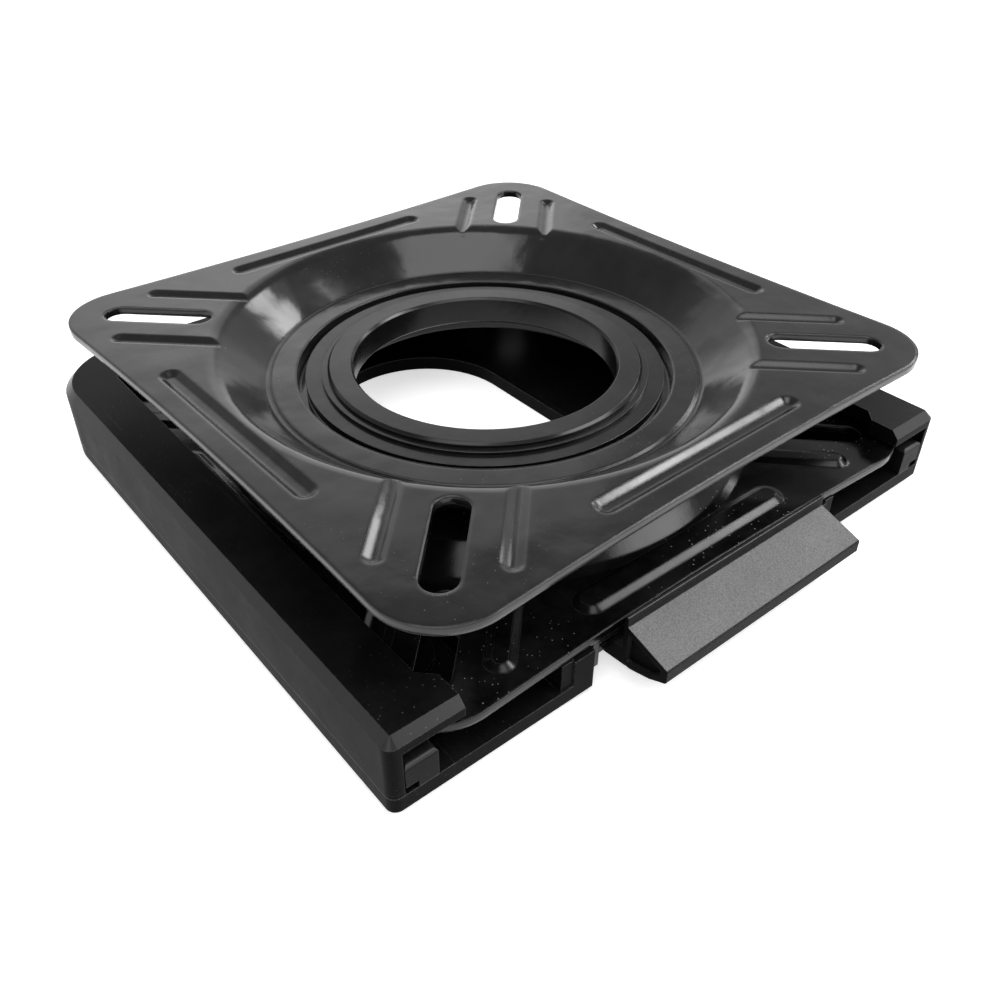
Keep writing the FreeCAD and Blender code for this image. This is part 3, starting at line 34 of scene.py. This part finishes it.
# Floor: its size, how far it lies under the base, and how much of its white is its own
FLOOR_RADIUS = 6.0
FLOOR_DROP = 0.2 * MM
FLOOR_LIFT = 0.62

# Rays that each rounded edge of the shading takes
EDGE_SAMPLES = 6

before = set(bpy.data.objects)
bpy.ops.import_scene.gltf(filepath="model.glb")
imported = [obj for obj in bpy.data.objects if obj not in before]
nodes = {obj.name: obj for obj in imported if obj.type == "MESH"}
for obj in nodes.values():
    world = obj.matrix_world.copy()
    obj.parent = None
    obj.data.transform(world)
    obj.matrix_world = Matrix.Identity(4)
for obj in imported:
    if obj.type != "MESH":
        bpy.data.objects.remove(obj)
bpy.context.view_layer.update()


def rgb(red, green, blue):
    return (red, green, blue, 1.0)


WHITE = rgb(1.0, 1.0, 1.0)
FLOOR_WHITE = rgb(0.82, 0.82, 0.82)
DUST_COLOUR = rgb(0.42, 0.41, 0.39)
# Painted highlight: the pale grey that the edges of the enamel are mixed towards
EDGE_HIGHLIGHT_GREY = rgb(0.22, 0.22, 0.22)


# Node trees

class Board:
    """A node tree that is filled one node at a time."""

    def __init__(self, tree):
        self.tree = tree

    def add(self, kind, sockets=None, **settings):
        node = self.tree.nodes.new(kind)
        for name, value in settings.items():
            setattr(node, name, value)
        for name, value in (sockets or {}).items():
            self.feed(node, name, value)
        return node

    def feed(self, node, name, value):
        """Sets an input, or links it when the value is another node's output."""
        socket = node.inputs[name]
        if isinstance(value, bpy.types.NodeSocket):
            self.tree.links.new(value, socket)
        else:
            socket.default_value = value

    def math(self, operation, first, second=0.0, clamp=False):
        sockets = {0: first, 1: second}
        return self.add("ShaderNodeMath", sockets, operation=operation, use_clamp=clamp).outputs[0]

    def noise(self, vector, scale, detail=2.0, roughness=0.5):
        sockets = {"Vector": vector, "Scale": scale, "Detail": detail, "Roughness": roughness}
        return self.add("ShaderNodeTexNoise", sockets).outputs["Fac"]

    def cells(self, vector, scale):
        """The distance from the middle of the nearest of many scattered cells."""
        return self.add("ShaderNodeTexVoronoi", {"Vector": vector, "Scale": scale}).outputs["Distance"]

    def spread(self, value, from_low, from_high, to_low=0.0, to_high=1.0):
        """Maps a range of values to another and clamps what lies outside."""
        sockets = {0: value, 1: from_low, 2: from_high, 3: to_low, 4: to_high}
        return self.add("ShaderNodeMapRange", sockets).outputs[0]

    def mix_colour(self, mask, first, second):
        node = self.add("ShaderNodeMix", data_type="RGBA")
        for index, value in ((0, mask), (6, first), (7, second)):
            self.feed(node, index, value)
        return node.outputs[2]

    def bump(self, height, distance, normal):
        sockets = {"Height": height, "Distance": distance, "Normal": normal}
        return self.add("ShaderNodeBump", sockets).outputs[0]

    def alike(self, first, second):
        """How far two directions agree: 1 when they are the same."""
        sockets = {0: first, 1: second}
        return self.add("ShaderNodeVectorMath", sockets, operation="DOT_PRODUCT").outputs["Value"]

    def parts(self, vector):
        """The X, Y and Z of a direction."""
        return self.add("ShaderNodeSeparateXYZ", {"Vector": vector}).outputs

    def place(self):
        """Where a point of the surface is on its own piece."""
        return self.add("ShaderNodeTexCoord").outputs["Object"]


def new_group(name, inputs, outputs):
    """A shader node group. Inputs are (name, kind) or (name, kind, default), outputs (name, kind)."""
    tree = bpy.data.node_groups.new(name, "ShaderNodeTree")
    for name_in, kind, *default in inputs:
        socket = tree.interface.new_socket(name_in, in_out="INPUT", socket_type=f"NodeSocket{kind}")
        if default:
            socket.default_value = default[0]
    for name_out, kind in outputs:
        tree.interface.new_socket(name_out, in_out="OUTPUT", socket_type=f"NodeSocket{kind}")
    board = Board(tree)
    entry = board.add("NodeGroupInput")
    leave = board.add("NodeGroupOutput")
    return board, entry.outputs, leave


def make_mottle():
    """A soft patchy value between two limits."""
    inputs = [("Scale", "Float", 60.0), ("Low", "Float", 0.2), ("High", "Float", 0.4)]
    board, given, leave = new_group("mottle", inputs, [("Value", "Float")])
    patches = board.noise(board.place(), given["Scale"], detail=4.0, roughness=0.6)
    board.feed(leave, "Value", board.spread(patches, 0.3, 0.7, given["Low"], given["High"]))
    return board.tree


def make_soft_edges():
    """Rounds sharp edges in the shading, and gives a mask of where they are."""
    inputs = [("Radius", "Float", 0.5 * MM)]
    outputs = [("Normal", "Vector"), ("Edge", "Float")]
    board, given, leave = new_group("soft_edges", inputs, outputs)
    rounded = board.add("ShaderNodeBevel", {"Radius": given["Radius"]}, samples=EDGE_SAMPLES).outputs[0]
    plain = board.add("ShaderNodeNewGeometry").outputs["Normal"]
    board.feed(leave, "Normal", rounded)
    board.feed(leave, "Edge", board.spread(board.alike(rounded, plain), 0.99, 0.85))
    return board.tree


def make_grain():
    """The etched grain of a moulding, as a bump on a given normal."""
    inputs = [("Scale", "Float", 2500.0), ("Depth", "Float", 0.1 * MM), ("Normal", "Vector")]
    outputs = [("Normal", "Vector"), ("Height", "Float")]
    board, given, leave = new_group("moulded_grain", inputs, outputs)
    place = board.place()
    pebbles = board.cells(place, given["Scale"])
    fine = board.noise(place, board.math("MULTIPLY", given["Scale"], 2.3), detail=3.0)
    height = board.math("ADD", board.math("MULTIPLY", pebbles, 0.6), board.math("MULTIPLY", fine, 0.4))
    board.feed(leave, "Normal", board.bump(height, given["Depth"], given["Normal"]))
    board.feed(leave, "Height", height)
    return board.tree


def make_peel():
    """The waviness of pressed sheet and the peel of sprayed paint, as bumps on a given normal."""
    inputs = [
        ("Scale", "Float", 320.0),
        ("Depth", "Float", 0.02 * MM),
        ("Warp", "Float", 0.3 * MM),
        ("Normal", "Vector"),
    ]
    board, given, leave = new_group("paint_peel", inputs, [("Normal", "Vector")])
    place = board.place()
    peel = board.noise(place, given["Scale"], detail=2.0, roughness=0.4)
    waves = board.noise(place, 42.0, detail=2.0, roughness=0.45)
    wavy = board.bump(waves, given["Warp"], given["Normal"])
    board.feed(leave, "Normal", board.bump(peel, given["Depth"], wavy))
    return board.tree


def make_dust():
    """Specks and a light film of dust on faces that look up."""
    inputs = [("Film", "Float", 0.05), ("Specks", "Float", 0.5)]
    board, given, leave = new_group("settled_dust", inputs, [("Mask", "Float")])
    place = board.place()
    normal = board.add("ShaderNodeNewGeometry").outputs["Normal"]
    upward = board.spread(board.parts(normal)["Z"], 0.3, 0.95)
    clouds = board.spread(board.noise(place, 90.0, detail=5.0, roughness=0.7), 0.4, 0.75)
    film = board.math("MULTIPLY", clouds, given["Film"])
    dots = board.spread(board.cells(place, 640.0), 0.13, 0.05)
    patches = board.spread(board.noise(place, 40.0), 0.45, 0.65)
    specks = board.math("MULTIPLY", dots, board.math("MULTIPLY", patches, given["Specks"]))
    both = board.math("ADD", film, specks, clamp=True)
    board.feed(leave, "Mask", board.math("MULTIPLY", both, upward))
    return board.tree


def make_scuffs():
    """Fine rubbed lines along the slide."""
    inputs = [("Amount", "Float", 0.3)]
    board, given, leave = new_group("rubbed_lines", inputs, [("Mask", "Float")])
    place = board.place()
    stretch = board.add("ShaderNodeMapping", {"Vector": place, "Scale": (900.0, 25.0, 900.0)}).outputs[0]
    lines = board.spread(board.noise(stretch, 1.0, detail=3.0, roughness=0.6), 0.58, 0.72)
    patches = board.spread(board.noise(place, 30.0), 0.45, 0.7)
    made_paler = board.math("MULTIPLY", lines, patches)
    board.feed(leave, "Mask", board.math("MULTIPLY", made_paler, given["Amount"]))
    return board.tree


GROUPS = {
    "mottle": make_mottle(),
    "edges": make_soft_edges(),
    "grain": make_grain(),
    "peel": make_peel(),
    "dust": make_dust(),
    "scuffs": make_scuffs(),
}


def placed(board, group, **sockets):
    """A node group in a material, with its own values."""
    node = board.add("ShaderNodeGroup", node_tree=GROUPS[group])
    for name, value in sockets.items():
        board.feed(node, name, value)
    return node.outputs


# Materials

def new_material(name):
    """An empty material: itself, its board and its shader."""
    material = bpy.data.materials.new(name)
    material.use_nodes = True
    material.node_tree.nodes.clear()
    board = Board(material.node_tree)
    shader = board.add("ShaderNodeBsdfPrincipled")
    end = board.add("ShaderNodeOutputMaterial")
    board.feed(end, "Surface", shader.outputs[0])
    return material, board, shader


def enamel(name, colour, rough, specks, roundness, warp, specular):
    """Gloss black enamel on pressed steel, with a painted highlight that makes its edges pale grey."""
    material, board, shader = new_material(name)
    edges = placed(board, "edges", Radius=roundness)
    highlight_rim = placed(board, "edges", Radius=0.22 * MM)["Edge"]
    peel = placed(board, "peel", Scale=300.0, Depth=0.03 * MM, Warp=warp, Normal=edges["Normal"])
    dust = placed(board, "dust", Film=0.02, Specks=specks)["Mask"]
    patches = placed(board, "mottle", Scale=55.0, Low=rough, High=rough * 1.5)["Value"]
    # Painted highlight: the paint along each edge is mixed towards a pale grey
    edge_highlighted = board.mix_colour(board.math("MULTIPLY", highlight_rim, 0.45), colour, EDGE_HIGHLIGHT_GREY)
    dulled = board.math("ADD", patches, board.math("MULTIPLY", dust, 0.4), clamp=True)
    board.feed(shader, "Base Color", board.mix_colour(dust, edge_highlighted, DUST_COLOUR))
    board.feed(shader, "Roughness", dulled)
    board.feed(shader, "Normal", peel["Normal"])
    board.feed(shader, "Specular IOR Level", specular)
    return material


def moulding(name, colour, worn, rough, grain_scale, grain_depth, dust_film, specular=0.5):
    """A grained moulding, paler where it is rubbed, dull on its walls and glossy on its chamfers."""
    material, board, shader = new_material(name)
    edges = placed(board, "edges", Radius=0.4 * MM)
    grain = placed(board, "grain", Scale=grain_scale, Depth=grain_depth, Normal=edges["Normal"])
    dust = placed(board, "dust", Film=dust_film, Specks=0.25)["Mask"]
    lines = placed(board, "scuffs", Amount=0.35)["Mask"]
    rough_low, rough_high = rough
    patches = placed(board, "mottle", Scale=70.0, Low=rough_low, High=rough_high)["Value"]

    chipped = board.spread(board.noise(board.place(), 260.0, detail=3.0), 0.4, 0.6, 0.3, 0.9)
    made_paler = board.math("ADD", board.math("MULTIPLY", edges["Edge"], chipped), lines, clamp=True)
    plain = board.mix_colour(made_paler, colour, worn)
    pores = board.spread(grain["Height"], 0.25, 0.6)
    pored = board.mix_colour(pores, plain, rgb(*(0.6 * part for part in colour[:3])))
    board.feed(shader, "Base Color", board.mix_colour(dust, pored, DUST_COLOUR))
    board.feed(shader, "Roughness", patches)
    board.feed(shader, "Normal", grain["Normal"])

    rise = board.parts(edges["Normal"])["Z"]
    chamfer = board.math("MULTIPLY", board.spread(rise, 0.3, 0.5), board.spread(rise, 0.95, 0.85))
    upward = board.spread(rise, 0.2, 0.6, 0.0, specular * 1.6)
    board.feed(shader, "Coat Weight", board.spread(chamfer, 0.0, 1.0, upward, 1.0))
    board.feed(shader, "Coat Roughness", 0.38)
    board.feed(shader, "Specular IOR Level", specular * 0.2)
    return material


def lever_plastic(name):
    """The lever: grained, with painted light that makes its finger plate pale, dark on the ridge, and
    painted shade that makes the cheeks darker still.
    """
    material, board, shader = new_material(name)
    edges = placed(board, "edges", Radius=0.4 * MM)
    grain = placed(board, "grain", Scale=2600.0, Depth=0.08 * MM, Normal=edges["Normal"])
    # Faces that look up and forward, the finger plate, get painted light; faces that look sideways, the
    # cheeks, get painted shade
    facing = board.parts(edges["Normal"])
    shaded_cheek = board.spread(board.math("ABSOLUTE", facing["X"]), 0.3, 0.8)
    slopes_up = board.spread(facing["Z"], 0.8, 0.9)
    slopes_forward = board.spread(facing["Y"], -0.1, -0.25)
    lit_finger_plate = board.math("MULTIPLY", slopes_up, slopes_forward)

    pores = board.spread(grain["Height"], 0.3, 0.6)
    # Painted light: the pale greys of the finger plate
    made_paler = board.mix_colour(pores, rgb(0.25, 0.25, 0.253), rgb(0.165, 0.165, 0.167))
    grained = board.mix_colour(pores, rgb(0.035, 0.035, 0.036), rgb(0.012, 0.012, 0.0125))
    plain = board.mix_colour(lit_finger_plate, grained, made_paler)
    # Painted shade: the cheeks near black
    cheeks_shaded = board.mix_colour(shaded_cheek, plain, rgb(0.004, 0.004, 0.0042))
    stains = placed(board, "mottle", Scale=45.0, Low=0.0, High=0.2)["Value"]
    board.feed(shader, "Base Color", board.mix_colour(stains, cheeks_shaded, rgb(0.02, 0.02, 0.0203)))
    board.feed(shader, "Roughness", board.spread(shaded_cheek, 0.0, 1.0, 0.6, 0.4))
    board.feed(shader, "Normal", grain["Normal"])

    board.feed(shader, "Coat Weight", board.spread(shaded_cheek, 0.0, 1.0, 0.22, 0.0))
    board.feed(shader, "Coat Roughness", 0.6)
    board.feed(shader, "Specular IOR Level", 0.01)
    return material


def metal(name, bright, dull, rough):
    """Bare or plated steel with a slight bloom."""
    material, board, shader = new_material(name)
    edges = placed(board, "edges", Radius=0.2 * MM)
    lines = placed(board, "scuffs", Amount=0.6)["Mask"]
    bloom = placed(board, "mottle", Scale=180.0, Low=0.0, High=1.0)["Value"]
    rough_low, rough_high = rough
    clouded = board.spread(bloom, 0.0, 1.0, rough_low, rough_high)
    scuffed = board.math("ADD", clouded, board.math("MULTIPLY", lines, 0.3), clamp=True)
    board.feed(shader, "Base Color", board.mix_colour(bloom, bright, dull))
    board.feed(shader, "Roughness", scuffed)
    board.feed(shader, "Normal", edges["Normal"])
    board.feed(shader, "Metallic", 1.0)
    return material


def dress(material, *names):
    """Gives CAD nodes their material."""
    for name in names:
        mesh = nodes[name].data
        if not mesh.materials:
            mesh.materials.append(material)
        for n in range(len(mesh.materials)):
            mesh.materials[n] = material


# Pressed steel

plate_enamel = enamel(
    "plate_enamel",
    rgb(0.009, 0.009, 0.0093),
    rough=0.11,
    specks=0.2,
    roundness=1.3 * MM,
    warp=0.6 * MM,
    specular=0.5,
)
lower_enamel = enamel(
    "lower_enamel",
    rgb(0.002, 0.002, 0.0022),
    rough=0.14,
    specks=0.9,
    roundness=1.0 * MM,
    warp=0.3 * MM,
    specular=0.3,
)
hub_enamel = enamel(
    "hub_enamel",
    rgb(0.005, 0.005, 0.0052),
    rough=0.17,
    specks=0.1,
    roundness=0.35 * MM,
    warp=0.1 * MM,
    specular=0.35,
)
dress(plate_enamel, "top_plate")
dress(lower_enamel, "lower_plate")
dress(hub_enamel, "clamp_ring", "hub_washer", "hub_eyelet", "lever_bracket", "latch_arm")

# Mouldings and rubber

housing_black = moulding(
    "housing_black",
    rgb(0.0045, 0.0045, 0.0047),
    worn=rgb(0.14, 0.14, 0.14),
    rough=(0.36, 0.44),
    grain_scale=2600.0,
    grain_depth=0.03 * MM,
    dust_film=0.01,
    specular=0.12,
)
glide_black = moulding(
    "glide_black",
    rgb(0.008, 0.008, 0.0082),
    worn=rgb(0.05, 0.05, 0.05),
    rough=(0.3, 0.45),
    grain_scale=3200.0,
    grain_depth=0.03 * MM,
    dust_film=0.04,
    specular=0.25,
)
lever_grey = lever_plastic("lever_grey")
buffer_rubber = moulding(
    "buffer_rubber",
    rgb(0.02, 0.02, 0.02),
    worn=rgb(0.05, 0.05, 0.05),
    rough=(0.7, 0.85),
    grain_scale=1800.0,
    grain_depth=0.05 * MM,
    dust_film=0.1,
)
natural_nylon = moulding(
    "natural_nylon",
    rgb(0.62, 0.60, 0.53),
    worn=rgb(0.7, 0.68, 0.62),
    rough=(0.4, 0.5),
    grain_scale=2000.0,
    grain_depth=0.03 * MM,
    dust_film=0.02,
)
dress(housing_black, "base_tray", "base_housing")
dress(glide_black, "glide_rail_left", "glide_rail_right", "upper_glide_left", "upper_glide_right")
dress(lever_grey, "lever_handle")
dress(buffer_rubber, "rear_buffer_left", "rear_buffer_right")
dress(natural_nylon, "uplift_ring", "ball_cage")

# Bare and plated steel

zinc_plate = metal("zinc_plate", rgb(0.66, 0.67, 0.68), rgb(0.46, 0.47, 0.48), rough=(0.28, 0.45))
spring_steel = metal("spring_steel", rgb(0.30, 0.30, 0.31), rgb(0.18, 0.18, 0.19), rough=(0.3, 0.42))
ball_steel = metal("ball_steel", rgb(0.78, 0.78, 0.79), rgb(0.70, 0.70, 0.71), rough=(0.08, 0.14))
dress(zinc_plate, "lock_rack_left", "lock_rack_right", "lever_pivot_pin")
dress(zinc_plate, "tray_screws", "rack_screws", "handle_screws")
dress(spring_steel, "return_spring")
dress(ball_steel, "bearing_balls")


# Studio

def floor_white():
    """Matt and pale, lifted to white for the camera and in reflections, yet it takes a shadow."""
    material, board, shader = new_material("floor_white")
    board.feed(shader, "Base Color", FLOOR_WHITE)
    board.feed(shader, "Roughness", 1.0)
    board.feed(shader, "Specular IOR Level", 0.0)
    rays = board.add("ShaderNodeLightPath").outputs
    mirrored = board.math("ADD", rays["Is Glossy Ray"], rays["Is Transmission Ray"])
    seen = board.math("ADD", rays["Is Camera Ray"], mirrored, clamp=True)
    board.feed(shader, "Emission Color", WHITE)
    board.feed(shader, "Emission Strength", board.math("MULTIPLY", seen, FLOOR_LIFT))
    return material


def make_floor():
    """A round pale floor just below the base."""
    mesh = bpy.data.meshes.new("floor")
    shape = bmesh.new()
    bmesh.ops.create_circle(shape, cap_ends=True, segments=96, radius=FLOOR_RADIUS)
    shape.to_mesh(mesh)
    shape.free()
    floor = bpy.data.objects.new("floor", mesh)
    bpy.context.collection.objects.link(floor)
    floor.location.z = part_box("base_tray")[0].z - FLOOR_DROP
    mesh.materials.append(floor_white())


def make_world():
    """White to the camera. Mirrored, it is bright low down and behind, and darker overhead."""
    world = bpy.data.worlds.new("studio")
    bpy.context.scene.world = world
    world.use_nodes = True
    world.node_tree.nodes.clear()
    board = Board(world.node_tree)
    rays = board.add("ShaderNodeLightPath").outputs
    way = board.add("ShaderNodeTexCoord").outputs["Generated"]
    wall = board.spread(board.parts(way)["Z"], 0.15, 0.75, 0.85, 0.25)
    glow = board.math("POWER", board.spread(board.alike(way, GLOW_WAY), 0.9, 1.0), 2.0)
    room = board.math("ADD", wall, glow)
    mirrored = board.math("MAXIMUM", rays["Is Glossy Ray"], rays["Is Transmission Ray"])
    unseen = board.spread(mirrored, 0.0, 1.0, 0.45, room)
    strength = board.spread(rays["Is Camera Ray"], 0.0, 1.0, unseen, 1.0)
    back = board.add("ShaderNodeBackground", {"Color": WHITE, "Strength": strength})
    end = board.add("ShaderNodeOutputWorld")
    board.feed(end, "Surface", back.outputs[0])


def area_lamp(name, place, width, height, watts):
    """A soft rectangular lamp that faces the object."""
    data = bpy.data.lights.new(name, "AREA")
    data.shape = "RECTANGLE"
    data.size = width
    data.size_y = height
    data.energy = watts
    lamp = bpy.data.objects.new(name, data)
    bpy.context.collection.objects.link(lamp)
    lamp.location = place
    lamp.rotation_euler = (OBJECT_MIDDLE - Vector(place)).to_track_quat("-Z", "Y").to_euler()


def make_lamps():
    # Broad light from the front left
    area_lamp("key", (-0.9, -0.5, 1.3), width=0.9, height=0.9, watts=6.5)
    # Mirrored in the slopes that face the lever, and in the chamfers of the noses
    area_lamp("front", (0.70, -0.74, 0.83), width=0.68, height=0.45, watts=6.3)
    # Mirrored in the left wall of the dish and in the ribs beside the nearest slot
    area_lamp("window", (1.10, 0.12, 0.69), width=0.3, height=0.3, watts=2.5)
    # Mirrored in the long side bead of the upper plate above the lever
    area_lamp("side", (0.90, -0.38, 0.93), width=0.3, height=0.3, watts=2.6)
    # Mirrored in the far wall of the dish
    area_lamp("top", (0.0, -0.4, 1.3), width=0.7, height=0.7, watts=4.5)
    # Lights the rear edges
    area_lamp("back", (0.5, 1.2, 0.9), width=1.2, height=0.6, watts=1.2)


def make_camera():
    """The camera of the photo."""
    forward = Vector((
        math.sin(CAMERA_YAW) * math.cos(CAMERA_PITCH),
        math.cos(CAMERA_YAW) * math.cos(CAMERA_PITCH),
        -math.sin(CAMERA_PITCH),
    ))
    level_right = Vector((math.cos(CAMERA_YAW), -math.sin(CAMERA_YAW), 0.0))
    level_up = level_right.cross(forward)
    right = level_right * math.cos(CAMERA_ROLL) - level_up * math.sin(CAMERA_ROLL)
    up = level_right * math.sin(CAMERA_ROLL) + level_up * math.cos(CAMERA_ROLL)
    turn = Matrix((right, up, -forward)).transposed().to_4x4()
    data = bpy.data.cameras.new("camera")
    data.sensor_width = SENSOR_WIDTH
    data.lens = FOCAL_PIXELS / PHOTO_WIDTH * SENSOR_WIDTH
    data.clip_start = NEAREST_SEEN
    camera = bpy.data.objects.new("camera", data)
    bpy.context.collection.objects.link(camera)
    camera.matrix_world = Matrix.Translation(CAMERA_PLACE) @ turn
    bpy.context.scene.camera = camera


make_floor()
make_world()
make_lamps()
make_camera()
bpy.context.scene.view_settings.view_transform = "Standard"
